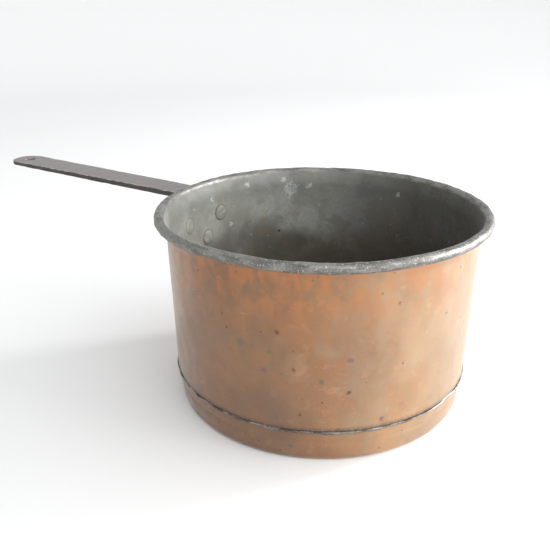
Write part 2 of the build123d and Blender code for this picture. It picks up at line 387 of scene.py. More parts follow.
def coat_profile(distance):
    """One face of the tin coat: floor, upstand, step, wall and roll. distance is from the copper."""
    cup = cup_profile(SHEET + distance)
    cup = cup[cup[:, 1] < CUP_TOP - 0.5 * MM]
    lip_radius = cup_outer(CUP_TOP) - SHEET - distance
    step_foot = CUP_TOP + distance
    step_top = step_foot + 1.2 * MM
    step_end = (wall_outer(step_top) - SHEET - distance, step_top)
    step = curve((lip_radius, CUP_TOP), (0, 0.8 * MM), step_end, (0.4 * MM, 2 * MM), 9)
    wall = up_the_wall(SHEET + distance, ROLL - TIN + distance, step_foot + 2.2 * MM, COAT_ANGLE)
    return np.concatenate([cup, step, wall])


def make_coat():
    """Wiped tin over the inside and the roll, thinning out to a ragged edge under the roll."""
    ragged = COAT_RAGGED * waves(ALL_ROUND, 0, 51, (12, 60), 1, 16)
    grids = []
    for distance in (-0.02 * MM, TIN):
        full = with_dip(coat_profile(distance))
        from_wire = full - np.array(RIM_CENTRE)
        angle = np.arctan2(from_wire[..., 1], from_wire[..., 0])
        reach = np.hypot(from_wire[..., 0], from_wire[..., 1])
        on_roll = (full[..., 1] > RIM_HEIGHT) | (full[..., 0] > RIM_RADIUS)
        lower = smooth(RAGGED_FROM, COAT_ANGLE, angle) * (full[..., 0] > RIM_RADIUS)
        angle = angle + ragged * lower
        swell = 0.10 * MM * waves(ALL_ROUND, 0, 52, (14, 70), 1, 16)
        swell = swell + 0.05 * MM * waves(ALL_ROUND, angle * ROLL, 53, (50, 100), 6 * MM, 16)
        if distance == TIN:
            reach = reach + (swell + 0.04 * MM) * on_roll
        moved = np.stack([RIM_RADIUS + reach * np.cos(angle), RIM_HEIGHT + reach * np.sin(angle)], -1)
        full = np.where(on_roll[..., None], moved, full)
        grids.append(warp(ALL_ROUND, full))
    return shell("tin_coat", grids[0], grids[1], around=True, pole=True)


def make_solder():
    """Solder in the lap, with a wandering raised line outside it."""
    azimuth = ALL_ROUND
    wander = 0.16 * MM * waves(azimuth, 0, 61, (3, 12), 1)
    wander = wander + 0.07 * MM * waves(azimuth, 0, 62, (20, 50), 1, 14)
    width = BEAD_HALF + 0.12 * MM * waves(azimuth, 0, 63, (5, 30), 1, 14)
    crest = BEAD_RADIUS - BEAD_SHY + 0.12 * MM * waves(azimuth, 0, 64, (6, 40), 1, 18)
    across = np.linspace(-1, 1, 13)[None, :]
    height = WALL_FOOT + wander + across * width
    back = np.where(height > WALL_FOOT, wall_outer(height), cup_outer(height)) - BEAD_ROOT
    bead = np.stack([back + (crest - back) * np.cos(across * math.pi / 2), height], -1)
    film_height = np.linspace(WALL_FOOT + FILM_START, CUP_TOP, 6)
    film_out = np.stack([wall_outer(film_height) - SHEET, film_height], 1)
    film_in = np.stack([cup_outer(film_height), film_height], 1)
    inner_height = np.linspace(0, 1, 13) * BEAD_BACK + BEAD_FOOT - 1.0 * MM
    inner = np.stack([cup_outer(inner_height), inner_height], 1)
    outside = np.concatenate([bead, np.broadcast_to(film_out, (AROUND,) + film_out.shape)], 1)
    inside = np.concatenate([inner, film_in])
    return shell("base_solder_line", warp(ALL_ROUND, inside), warp(ALL_ROUND, outside), around=True)


# ---- handle and rivets

STRAP_THICK = 4.8 * MM  # mean of the strap
STRAP_CLIMB = 0.7 * MM  # the tip stands this much above the bend
TAPER = 0.5 * MM  # thicker at the bend and thinner at the tip by this much
PALM_THICK = 3.4 * MM
BEND_RADIUS = 8 * MM
NECK = STRAP_TOP - BEND_RADIUS  # where the bend ends and the palm begins
ROOT_HALF = 12.8 * MM  # half the strap's width at the bend
TIP_HALF = 15.3 * MM  # half its width at the tip
HANGING_HOLE = next(mount for mount in frame["record"]["mounts"] if mount["name"] == "hanging_hole")
HOLE_PLACE = Vector(HANGING_HOLE["pos_m"])
HOLE_RADIUS = HANGING_HOLE["dims"]["r_mm"] * MM
WORN_EDGE = 1.0 * MM  # radius of the worn edges
PALM_GAP = 0.15 * MM  # air between the palm and the wall
PALM_TAPER = 9 * MM  # height over which the iron thins below the bend
PALM_END = iron_low.z
PALM_POINT = 3.8 * MM  # how much of the palm's lower end is rounded off
PALM_OUTLINE = (  # height, reach towards -Y, reach towards +Y
    (NECK, ROOT_HALF, ROOT_HALF),
    (NECK - 1.5 * MM, ROOT_HALF + 2.2 * MM, ROOT_HALF + 1.6 * MM),
    (123.6 * MM, -iron_low.y - 5 * MM, iron_high.y - 4 * MM),
    (121.0 * MM, -iron_low.y - 1.2 * MM, iron_high.y - 1 * MM),
    (117.5 * MM, -iron_low.y, iron_high.y),
    (113.5 * MM, -iron_low.y - 0.8 * MM, iron_high.y - 0.6 * MM),
    (110.5 * MM, -iron_low.y - 3 * MM, iron_high.y - 2.2 * MM),
    (94.0 * MM, 12.0 * MM, 10.4 * MM),
    (91.0 * MM, 8.6 * MM, 7.8 * MM),
)


def handle_stations():
    """Path of the strap's top face, from the tip, round the bend and down the palm.

    Each row holds the point (x, z), the direction into the metal (x, z), the reach towards -Y
    and +Y, the thickness, and how far the section follows the wall's curve (0 to 1).
    """
    rows = []
    end_centre = TIP - TIP_HALF
    thin = STRAP_THICK - TAPER
    stout = STRAP_THICK + TAPER
    for angle in np.linspace(math.radians(88), 0, 20):
        x = -(end_centre + TIP_HALF * math.sin(angle))
        reach = TIP_HALF * math.cos(angle)
        rows.append((x, STRAP_TOP + STRAP_CLIMB, 0, -1, reach, reach, thin, 0))
    bend_x = -wall_outer(NECK) - PALM_GAP - BEND_RADIUS
    for share in np.linspace(0, 1, 150)[1:-1]:
        x = -end_centre + (bend_x + end_centre) * share
        reach = TIP_HALF + (ROOT_HALF - TIP_HALF) * share
        z = STRAP_TOP + STRAP_CLIMB * (1 - share)
        rows.append((x, z, 0, -1, reach, reach, thin + (stout - thin) * share, 0))
    for angle in np.radians(np.linspace(90, 0, 18)):
        across, up = math.cos(angle), math.sin(angle)
        follow = float(smooth(math.radians(90), math.radians(10), angle))
        x = bend_x + BEND_RADIUS * across
        z = NECK + BEND_RADIUS * up
        rows.append((x, z, -across, -up, ROOT_HALF, ROOT_HALF, stout, follow))
    heights, front, back = np.array(PALM_OUTLINE)[::-1].T
    for share in np.linspace(0, 1, 90)[1:]:
        z = NECK + (PALM_END - NECK) * math.sin(share * math.pi / 2)
        from_end = min((z - PALM_END) / PALM_POINT, 1)
        fall = math.sqrt(max(1 - (1 - from_end) ** 2, 1e-4))
        left = float(np.interp(z, heights, front)) * fall
        right = float(np.interp(z, heights, back)) * fall
        thick = stout + (PALM_THICK - stout) * float(smooth(NECK, NECK - PALM_TAPER, z))
        rows.append((-wall_outer(z) - PALM_GAP, z, -1, 0, left, right, thick, 1))
    return np.array(rows)


def turned(name, low_side, high_side, centre, steps):
    """Closed body turned about its own upright axis from two lists of (radius, height) points.

    Both lists start on the axis and run outward; their last points are joined.
    """
    angle = np.linspace(0, TURN, steps, endpoint=False)[:, None]
    grids = []
    for points in (low_side, high_side):
        radius, height = np.array(points).T
        grids.append(round_axis(radius, angle, height))
    piece = shell(name, grids[0], grids[1], around=True, pole=True)
    piece.data.transform(Matrix.Translation(centre))
    return piece


def pierce(strap):
    """Cut the hanging hole, with worn rims, through the strap."""
    top = STRAP_THICK / 2
    rim = 0.7 * MM
    profile = [(0, -2 * top), (HOLE_RADIUS + 2 * rim, -2 * top), (HOLE_RADIUS + 1.2 * rim, -top - 0.3 * MM)]
    profile += [(HOLE_RADIUS + 0.25 * rim, -top + rim * 0.7), (HOLE_RADIUS, -top + 2 * rim)]
    mirrored = [(radius, -height) for radius, height in profile]
    cutter = turned("hole_cutter", profile, mirrored, HOLE_PLACE, 56)
    cut = strap.modifiers.new("hole", "BOOLEAN")
    cut.object = cutter
    cut.operation = "DIFFERENCE"
    cut.solver = "EXACT"
    graph = bpy.context.evaluated_depsgraph_get()
    pierced = bpy.data.meshes.new_from_object(strap.evaluated_get(graph))
    strap.modifiers.clear()
    strap.data = pierced
    bpy.data.objects.remove(cutter)
    sharpen(strap.data, 50)
    return strap


def make_handle():
    """Forged strap with worn edges: a flat plate bent down into a palm that hugs the wall."""
    rows = handle_stations()
    x, z, into_x, into_z, front, back, thick, follow = rows.T[..., None]
    across = np.sin(np.linspace(-1, 1, 45) * math.pi / 2)[None, :]
    steps = np.hypot(np.diff(rows[:, 0]), np.diff(rows[:, 1]))
    travel = np.concatenate([[0], np.cumsum(steps)])[:, None]
    uneven = 0.3 * MM * ripple(travel, 0, 71, 60 * MM) + 0.1 * MM * ripple(travel, 0, 72, 14 * MM)
    reach = np.where(across < 0, front + uneven, back - uneven)
    reach = np.where(np.minimum(front, back) > 6 * MM, reach, np.where(across < 0, front, back))
    y = across * reach
    narrowing = np.gradient(reach, axis=0) / np.maximum(np.gradient(travel, axis=0), 1e-6)
    from_edge = (reach - np.abs(y)) / np.sqrt(1 + narrowing**2)
    inside = np.clip(1 - from_edge / WORN_EDGE, 0, 1)
    drop = WORN_EDGE * (1 - np.sqrt(1 - inside**2))
    hammered = 0.12 * MM * ripple(travel, y, 73, 18 * MM, 16) + 0.05 * MM * ripple(travel, y, 74, 6 * MM, 16)
    wall = wall_outer(z)
    hug = (wall - np.sqrt(np.maximum(wall**2 - y**2, 0))) * follow
    inward = np.stack([into_x + 0 * y, y / wall * follow, into_z + 0 * y], -1)
    inward = inward / np.linalg.norm(inward, axis=-1, keepdims=True)
    top_face = np.stack([x + hug, y, z + 0 * y], -1)
    free = 1 - follow
    top = top_face + inward * (drop * 0.8 + (hammered + 0.12 * MM) * free)[..., None]
    under = top_face + inward * (thick - drop - hammered * 0.8)[..., None]
    return pierce(shell("handle_iron", under, top, sharp=60))


RIVETS = ("rivet_front", "rivet_back", "rivet_lower")
RIVET_STEPS = 64
SHANK = 3 * MM  # radius of a rivet between its heads
HEAD_RISE_IN = 0.75 * MM
HEAD_RISE_OUT = 2.7 * MM
HEAD_FLAT_IN, HEAD_FLAT_OUT = 5, 2  # the higher, the flatter the crown
OUTER_SHARE = 0.93  # size of the outer head against the inner one
HEAD_SINK = 0.5 * MM  # how far a head's edge reaches below the face it sits on


def rivet_place(node):
    """Azimuth, height and head radius of a rivet."""
    low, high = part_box(node)
    middle = (low + high) / 2
    return math.atan2(middle.y, middle.x), middle.z, (high.z - low.z) / 2


def rivet_head(radius, rise, flatness):
    """(distance from the rivet's axis, height) from the crown out to the edge, then in to the shank."""
    share = np.sin(np.linspace(0, 1, 26) * math.pi / 2)
    crown = np.stack([radius * share, rise * (1 - share**flatness) ** 0.55], 1)
    edge = np.linspace((radius, -0.1 * MM), (radius * 0.99, -HEAD_SINK), 3)
    neck = np.linspace((radius * 0.99, -HEAD_SINK), (SHANK, -HEAD_SINK - 0.1 * MM), 4)[1:]
    return np.concatenate([crown, edge, neck])


def make_rivet(node, seed, inner_paint, outer_paint):
    """Hammered rivet: flat, tinned head inside and a domed copper head on the palm."""
    azimuth, height, radius = rivet_place(node)
    wall = wall_outer(height)
    inside = rivet_head(radius, HEAD_RISE_IN, HEAD_FLAT_IN)
    outside = rivet_head(radius * OUTER_SHARE, HEAD_RISE_OUT, HEAD_FLAT_OUT)
    inside[:, 1] = wall - SHEET - TIN - inside[:, 1]
    outside[:, 1] = wall + PALM_GAP + PALM_THICK + outside[:, 1]
    turn = np.linspace(0, TURN, RIVET_STEPS, endpoint=False)[:, None]
    out_of_round = 1 + 0.04 * np.cos(2 * turn + seed) + 0.025 * np.cos(3 * turn + 2 * seed)
    grids = []
    for side in (outside, inside):
        from_axis, along = side.T[:, None, :]
        across = from_axis * out_of_round * np.cos(turn)
        up = from_axis * out_of_round * np.sin(turn)
        hammered = 0.16 * MM * ripple(across, up, 80 + seed, 7 * MM, 12)
        grids.append(np.stack([across, up, along + hammered * (from_axis < 0.95 * radius)], -1))
    piece = shell(node + "_heads", grids[0], grids[1], around=True, pole=True)
    outward = Vector((math.cos(azimuth), math.sin(azimuth), 0))
    upward = Vector((0, 0, 1))
    turned_out = Matrix((upward, outward.cross(upward), outward)).transposed()
    piece.data.transform(Matrix.Translation((0, 0, height)) @ turned_out.to_4x4())
    piece.data.materials.append(outer_paint)
    piece.data.materials.append(inner_paint)
    for face in piece.data.polygons:
        face.material_index = int(math.hypot(face.center.x, face.center.y) < wall)
    return piece


# ---- materials

class Paint:
    """A node material, built by short calls. Points are the object's own, so sizes are in metres."""

    def __init__(self, name):
        self.material = bpy.data.materials.new(name)
        self.material.use_nodes = True
        self.tree = self.material.node_tree
        self.surface = self.tree.nodes["Principled BSDF"]
        self.points = self.tree.nodes.new("ShaderNodeTexCoord").outputs["Object"]
        self.height = self.split(self.points, "Z")

    def feed(self, socket, value):
        """Link a socket to a node's output, or set it to a plain value."""
        if isinstance(value, bpy.types.NodeSocket):
            self.tree.links.new(value, socket)
        elif isinstance(value, tuple) and len(value) == 3 and socket.type == "RGBA":
            socket.default_value = (*value, 1)
        else:
            socket.default_value = value

    def node(self, kind, inputs, **settings):
        """New shader node with its inputs fed and its settings set."""
        made = self.tree.nodes.new("ShaderNode" + kind)
        for key, value in settings.items():
            setattr(made, key, value)
        for key, value in inputs.items():
            self.feed(made.inputs[key], value)
        return made

    def math(self, operation, first, second=0.0):
        """One sum on one or two values."""
        return self.node("Math", {0: first, 1: second}, operation=operation).outputs[0]

    def times(self, first, second):
        return self.math("MULTIPLY", first, second)

    def plus(self, first, second):
        return self.math("ADD", first, second)

    def split(self, vector, axis):
        """One coordinate of a vector."""
        return self.node("SeparateXYZ", {"Vector": vector}).outputs[axis]

    def ramp(self, value, low, high, start=0.0, end=1.0):
        """Soft map from start to end while a value goes from low to high, held at both ends."""
        inputs = {"Value": value, "From Min": low, "From Max": high, "To Min": start, "To Max": end}
        return self.node("MapRange", inputs, interpolation_type="SMOOTHSTEP").outputs[0]

    def spread(self, noise, start, end):
        """A noise's usual range laid out from start to end."""
        return self.ramp(noise, 0.3, 0.7, start, end)

    def mix(self, share, first, second):
        """The first colour, and the second in its place by a share."""
        return self.node("MixRGB", {"Fac": share, "Color1": first, "Color2": second}).outputs[0]

    def layers(self, color, *rows):
        """Lay tones over a colour, one per row, each showing fully where its value reaches high."""
        for tone, value, low, high, strength in rows:
            color = self.mix(self.ramp(value, low, high, 0, strength), color, tone)
        return color

    def stretch(self, scale=(1, 1, 1), turn=(0, 0, 0), shift=(0, 0, 0)):
        """The points scaled, turned and moved, for grain that runs one way or lies elsewhere."""
        inputs = {"Vector": self.points, "Scale": scale, "Rotation": turn, "Location": shift}
        return self.node("Mapping", inputs).outputs[0]

    def noise(self, size, detail=3, rough=0.55, at=None, twist=0.0):
        """Noise with features of about a size in metres."""
        inputs = {"Vector": at or self.points, "Scale": 1 / size, "Detail": detail}
        inputs.update({"Roughness": rough, "Distortion": twist})
        return self.node("TexNoise", inputs).outputs["Fac"]

    def cells(self, size):
        """Distance from the nearest of scattered points that lie about a size in metres apart."""
        return self.node("TexVoronoi", {"Vector": self.points, "Scale": 1 / size}).outputs["Distance"]

    def measure(self, operation, vector):
        """One value from the points and a vector, such as the distance between them."""
        return self.node("VectorMath", {0: self.points, 1: vector}, operation=operation).outputs["Value"]

    def near(self, place, inner, outer, ragged=0.0):
        """1 within the inner distance of a place and 0 beyond the outer one; ragged roughens the edge."""
        away = self.measure("DISTANCE", tuple(place))
        return self.ramp(self.plus(away, ragged), inner, outer, 1, 0)

    def toward(self, degrees):
        """1 on the side of the pan that faces an azimuth, -1 on the far side."""
        turn = math.radians(degrees)
        return self.measure("DOT_PRODUCT", (math.cos(turn) / RIM_RADIUS, math.sin(turn) / RIM_RADIUS, 0))

    def from_axis(self):
        """Distance from the pan's axis."""
        squares = [self.times(part, part) for part in (self.split(self.points, name) for name in "XY")]
        return self.math("SQRT", self.plus(*squares))

    def unrolled(self, along):
        """Points of the wall laid flat: distance round the pan (times a stretch), out and up."""
        behind = self.times(self.split(self.points, "Y"), -1.0)
        turn = self.math("ARCTAN2", self.split(self.points, "X"), behind)
        flat = {"X": self.times(turn, RIM_RADIUS * along), "Y": self.from_axis(), "Z": self.height}
        return self.node("CombineXYZ", flat).outputs[0]

    def facing(self, axis, normal="Normal"):
        """How far the surface looks along an axis, -1 to 1."""
        return self.split(self.node("NewGeometry", {}).outputs[normal], axis)

    def bump(self, height, depth, strength, before=None):
        """Relief of a depth in metres, on top of the relief before it."""
        inputs = {"Height": height, "Distance": depth, "Strength": strength}
        if before is not None:
            inputs["Normal"] = before
        return self.node("Bump", inputs).outputs[0]

    def finish(self, color, metallic, roughness, normal=None, **more):
        """Feed the surface and return the material; further inputs are named with _ for a space."""
        inputs = {"Base Color": color, "Metallic": metallic, "Roughness": roughness}
        if normal is not None:
            inputs["Normal"] = normal
        inputs.update({key.replace("_", " "): value for key, value in more.items()})
        for key, value in inputs.items():
            self.feed(self.surface.inputs[key], value)
        return self.material


def on_wall(degrees, height, depth=0.0):
    """Place on the wall at an azimuth and a height, a depth in from its outer face."""
    turn = math.radians(degrees)
    radius = wall_outer(height) - depth
    return (radius * math.cos(turn), radius * math.sin(turn), height)


# ---- copper

BROWN_COPPER = (0.36, 0.168, 0.07)
CLEAN_COPPER = (0.52, 0.262, 0.112)
TAN = (0.43, 0.262, 0.145)
ORANGE = (0.52, 0.205, 0.075)
UMBER = (0.235, 0.135, 0.088)
DULL_BLOT = (0.3, 0.2, 0.15)
CLEAN_BLOT = (0.6, 0.32, 0.17)
SALMON = (0.62, 0.38, 0.25)
# tarnish, with painted shade on the front-left side away from the lamps
TARNISH_AND_SHADE = (0.13, 0.072, 0.046)
# painted light: paler copper on the side towards the lamps
PAINTED_LIGHT_COPPER = (0.5, 0.365, 0.23)
HEATED_COPPER = (0.5, 0.185, 0.055)
DARK_RUN = (0.22, 0.14, 0.09)
PIT = (0.085, 0.05, 0.035)
SCRATCH = (0.78, 0.52, 0.38)
# painted shadow under the roll
PAINTED_RIM_SHADOW = (0.1, 0.055, 0.035)
# dirt and painted shade along the solder line
GRIME_AND_SHADE = (0.12, 0.07, 0.05)
PURPLE = (0.17, 0.075, 0.12)
GREEN = (0.1, 0.125, 0.085)
DARK = (0.06, 0.035, 0.025)
STAINS = (  # azimuth in degrees, height and size in mm, colour: spots on the outer wall
    (-77, 68, 3.2, PURPLE),
    (-75, 82, 2.4, GREEN),
    (-72, 97, 2.0, DARK),
    (-85, 85, 5.0, GREEN),
    (-58, 63, 2.8, GREEN),
    (-67, 71, 1.6, DARK),
    (-49, 55, 1.8, DARK),
    (-65, 37, 1.6, DARK),
    (-37, 31, 2.6, PURPLE),
    (-34, 115, 1.7, DARK),
    (-13, 97, 1.6, DARK),
)


def copper_clouds(paint, patches, grain):
    """Orange, tan and brown clouds: tarnished and darkened with painted shade at the front, painted paler as
    painted light opposite the handle, red under the rim.
    """
    clouds = paint.noise(52 * MM, 3, 0.5, twist=0.3)
    blots = paint.noise(8 * MM, 3, 0.6, paint.stretch(shift=(5, 2, 9)), twist=0.4)
    shade = paint.noise(64 * MM, 2, 0.5, paint.stretch((1, 1, 0.6), shift=(3, 1, 2)))
    runs = paint.noise(11 * MM, 4, 0.6, paint.stretch((1, 1, 0.75), shift=(6, 3, 5)), twist=0.6)
    # painted shade: the front-left side, away from the lamps, is darkened along with its tarnish
    front = paint.plus(paint.toward(-97), paint.spread(clouds, -0.16, 0.16))
    # painted light: the side towards the lamps, opposite the handle, is painted paler
    lit_side = paint.plus(paint.toward(6), paint.spread(patches, -0.1, 0.1))
    color = paint.mix(paint.ramp(clouds, 0.38, 0.60), BROWN_COPPER, CLEAN_COPPER)
    color = paint.layers(
        color,
        (TAN, patches, 0.50, 0.64, 0.65),
        (ORANGE, patches, 0.45, 0.32, 0.70),
        (UMBER, shade, 0.50, 0.68, 0.50),
        (DULL_BLOT, blots, 0.54, 0.66, 0.40),
        (CLEAN_BLOT, blots, 0.44, 0.32, 0.38),
        (SALMON, grain, 0.50, 0.75, 0.25),
        (TARNISH_AND_SHADE, front, 0.45, 0.95, 0.62),
        (PAINTED_LIGHT_COPPER, lit_side, 0.3, 1.0, 0.6),
    )
    heated = paint.ramp(paint.height, RIM_HEIGHT - 60 * MM, RIM_HEIGHT - 6 * MM, 0, 0.62)
    color = paint.mix(paint.times(heated, paint.ramp(runs, 0.36, 0.64)), color, HEATED_COPPER)
    return paint.layers(color, (DARK_RUN, runs, 0.44, 0.28, 0.22))


def copper_specks(paint, color):
    """Small scattered green and purple specks, and the larger stains."""
    green = paint.noise(7 * MM, 1, 0.5, paint.stretch(shift=(7, 5, 1)))
    purple = paint.noise(9 * MM, 1, 0.5, paint.stretch(shift=(2, 9, 4)))
    color = paint.layers(color, (GREEN, green, 0.735, 0.785, 0.6), (PURPLE, purple, 0.79, 0.83, 0.5))
    ragged = paint.spread(paint.noise(2.4 * MM, 3, 0.6), -1.1 * MM, 1.1 * MM)
    for degrees, height, size, stain in STAINS:
        spot = paint.near(on_wall(degrees, height * MM), 0, size * MM, ragged)
        color = paint.mix(paint.times(spot, 0.75), color, stain)
    return color


def copper_pits(paint):
    """1 in small round pits, which come in flocks."""
    flocks = paint.ramp(paint.noise(26 * MM, 1, 0.5, paint.stretch(shift=(1, 8, 3))), 0.42, 0.50)
    return paint.times(paint.ramp(paint.cells(11 * MM), 0.09, 0.045), flocks)


def copper_scratches(paint):
    """1 in long upright grooves and in scuffs that run round the pan."""
    grooves = paint.noise(3.0 * MM, 2, 0.5, paint.stretch((1, 1, 0.16), (0.3, 0.2, 0.0)))
    scuffs = paint.noise(3.0 * MM, 2, 0.5, paint.stretch((0.15, 1, 1), (0.1, 0.5, 0.7)))
    return paint.math("MAXIMUM", paint.ramp(grooves, 0.765, 0.80), paint.ramp(scuffs, 0.765, 0.80))


def copper_grime_and_shade(paint, color, grain):
    """Painted shadow under the roll, and dirt with painted shade along the solder line."""
    # painted shadow on the wall just under the roll
    color = paint.layers(
        color, (PAINTED_RIM_SHADOW, paint.height, RIM_HEIGHT - ROLL - 3.0 * MM, RIM_HEIGHT - ROLL + 0.5 * MM, 0.7)
    )
    # dirt and painted shade in the crevice along the solder line
    from_line = paint.math("ABSOLUTE", paint.plus(paint.height, -WALL_FOOT))
    grime_and_shade = paint.ramp(from_line, 4.5 * MM, 1.2 * MM, 0, 0.6)
    return paint.mix(paint.times(grime_and_shade, paint.ramp(grain, 0.3, 0.55)), color, GRIME_AND_SHADE)


def copper_paint():
    """Old, often cleaned sheet copper."""
    paint = Paint("copper_old")
    patches = paint.noise(19 * MM, 4, 0.55, paint.stretch((1, 1, 0.8)), twist=0.5)
    grain = paint.noise(2.6 * MM, 5, 0.65)
    pits = copper_pits(paint)
    scratches = copper_scratches(paint)
    color = copper_specks(paint, copper_clouds(paint, patches, grain))
    color = paint.mix(paint.times(pits, 0.75), color, PIT)
    color = paint.mix(paint.times(scratches, 0.3), color, SCRATCH)
    color = copper_grime_and_shade(paint, color, grain)
    roughness = paint.plus(paint.spread(patches, 0.36, 0.50), paint.spread(grain, -0.04, 0.06))
    roughness = paint.plus(roughness, paint.times(pits, 0.3))
    skin = paint.bump(paint.noise(0.8 * MM, 3, 0.6), 0.03 * MM, 0.3)
    waved = paint.bump(patches, 0.5 * MM, 0.35, skin)
    dug = paint.bump(paint.math("SUBTRACT", 1.0, pits), 0.2 * MM, 0.7, waved)
    scored = paint.bump(paint.math("SUBTRACT", 1.0, scratches), 0.04 * MM, 0.6, dug)
    haze = {"Sheen_Weight": 0.2, "Sheen_Roughness": 0.5, "Sheen_Tint": (1.0, 0.93, 0.84)}
    return paint.finish(color, 0.95, roughness, scored, Coat_Weight=0.6, Coat_Roughness=0.32, **haze)


# ---- tin

DARK_TIN = (0.262, 0.262, 0.232)
LIGHT_TIN = (0.365, 0.37, 0.34)
GREY_PATCH = (0.2, 0.195, 0.17)
YELLOWED_TIN = (0.36, 0.33, 0.25)
# painted shade on the inner wall that faces away from the lamps
PAINTED_SHADE_TIN = (0.052, 0.048, 0.04)
# painted shade, brown-black, low down inside the pan
DEEP_SHADE_BROWN = (0.072, 0.056, 0.038)
# painted shade on the flared lip by the handle
LIP_SHADE = (0.13, 0.13, 0.12)
BARE_COPPER = (0.26, 0.155, 0.09)
TIN_GRAIN = (0.12, 0.12, 0.105)
LIME = (0.6, 0.64, 0.61)
POCK_BLACK = (0.03, 0.027, 0.022)
RIVET_TIN = (0.31, 0.285, 0.2)
# painted shade round the rivet heads' edges
RIVET_SHADE_RING = (0.09, 0.08, 0.06)
RIM_DARK = (0.155, 0.15, 0.14)
RIM_LIGHT = (0.27, 0.265, 0.245)
RIM_MOTTLE = (0.08, 0.074, 0.068)
# painted glints on the rim where it faces the lamps
RIM_GLINT_FLECK = (0.62, 0.61, 0.57)
RIM_COPPER = (0.19, 0.125, 0.07)
# painted glint
GLINT_WHITE = (0.88, 0.88, 0.85)
SCALE_SPOTS = (  # azimuth in degrees, height and size in mm: whitish scale on the inner wall
    (135.5, 128, 14),
    (138.5, 138, 5),
    (127, 132, 6),
    (156, 137, 5),
    (165.5, 104, 4),
    (176, 131, 5),
    (85, 129, 5),
)
POCK = (141, 90 * MM)  # azimuth in degrees and height of a small dark pock
RIM_GLINT_PLACE = (116 * MM, 11 * MM, 143 * MM)  # a painted glint on the inner side of the rim


def tin_clouds(paint, patches):
    """Grey clouds inside the pan, with painted shade: darkest low down and opposite the handle, and darker
    on the flared lip by the handle.
    """
    clouds = paint.noise(42 * MM, 3, 0.5, twist=0.4)
    wear = paint.noise(17 * MM, 3, 0.6, paint.stretch(shift=(4, 6, 3)))
    # painted shade: the inner side out of the lamps' light is darkened
    shadow_side = paint.plus(paint.toward(48), paint.spread(clouds, -0.12, 0.12))
    color = paint.mix(paint.ramp(clouds, 0.38, 0.62), DARK_TIN, LIGHT_TIN)
    color = paint.layers(
        color,
        (GREY_PATCH, patches, 0.50, 0.66, 0.45),
        (YELLOWED_TIN, patches, 0.42, 0.30, 0.30),
        (PAINTED_SHADE_TIN, shadow_side, 0.15, 0.9, 0.85),
    )
    # painted shade: darker low down, most on the shaded side
    deep_shade = paint.ramp(paint.plus(paint.height, paint.spread(clouds, -14 * MM, 14 * MM)), 112 * MM, 62 * MM)
    color = paint.mix(paint.times(deep_shade, paint.ramp(shadow_side, -0.9, 0.3, 0.45, 0.9)), color, DEEP_SHADE_BROWN)
    # painted shade on the flared lip by the handle, to damp its highlight
    shaded_lip = paint.ramp(paint.height, 112 * MM, 136 * MM)
    color = paint.mix(paint.times(shaded_lip, paint.ramp(paint.toward(172), 0.4, 0.95, 0, 0.6)), color, LIP_SHADE)
    low_down = paint.ramp(paint.height, 124 * MM, 104 * MM, 0, 0.22)
    return paint.mix(paint.times(paint.ramp(wear, 0.56, 0.66), low_down), color, BARE_COPPER)


def tin_spots(paint, color):
    """Lime scale, a pock, and the tinned rivet heads with a ring of painted shade round each."""
    crust = paint.noise(3.5 * MM, 5, 0.75, twist=0.8)
    for degrees, height, size in SCALE_SPOTS:
        spot = paint.near(on_wall(degrees, height * MM, SHEET + TIN), size * 0.2 * MM, size * MM)
        color = paint.layers(color, (LIME, paint.plus(crust, paint.times(spot, 0.24)), 0.65, 0.76, 0.55))
    pock = paint.near(on_wall(*POCK, SHEET + TIN), 0.6 * MM, 1.9 * MM)
    color = paint.mix(pock, color, POCK_BLACK)
    for node in RIVETS:
        azimuth, height, radius = rivet_place(node)
        middle = on_wall(math.degrees(azimuth), height, SHEET + TIN)
        disc = paint.near(middle, radius * 0.97, radius * 1.25)
        head = paint.near(middle, radius * 0.86, radius * 0.98)
        if node != "rivet_back":
            color = paint.mix(paint.times(head, 0.3), color, RIVET_TIN)
        # painted shade: a dark ring where each head meets the wall
        color = paint.mix(paint.times(paint.math("SUBTRACT", disc, head), 0.55), color, RIVET_SHADE_RING)
    return color


def tin_rim(paint, outside):
    """Streaked and mottled rim with painted glints, bright flecks on the side towards the lamps, worn to the
    copper at its ragged outer edge.
    """
    along = paint.unrolled(0.35)
    streaks = paint.noise(4 * MM, 4, 0.6, along)
    mottle = paint.noise(1.8 * MM, 4, 0.65, along)
    color = paint.mix(paint.ramp(streaks, 0.36, 0.62), RIM_DARK, RIM_LIGHT)
    color = paint.layers(color, (RIM_MOTTLE, mottle, 0.54, 0.68, 0.4))
    # painted glints, shown only on the side in the light
    glint_flecks = paint.ramp(paint.noise(1.3 * MM, 3, 0.7), 0.56, 0.66, 0, 0.75)
    in_light = paint.ramp(paint.toward(-25), -0.1, 0.9, 0.1, 1)
    color = paint.mix(paint.times(glint_flecks, in_light), color, RIM_GLINT_FLECK)
    below = paint.math("SUBTRACT", RIM_HEIGHT - 1.6 * MM, paint.height)
    worn = paint.ramp(paint.plus(paint.times(below, 0.12 / MM), mottle), 0.62, 0.72, 0, 0.75)
    return paint.mix(paint.times(worn, outside), color, RIM_COPPER)


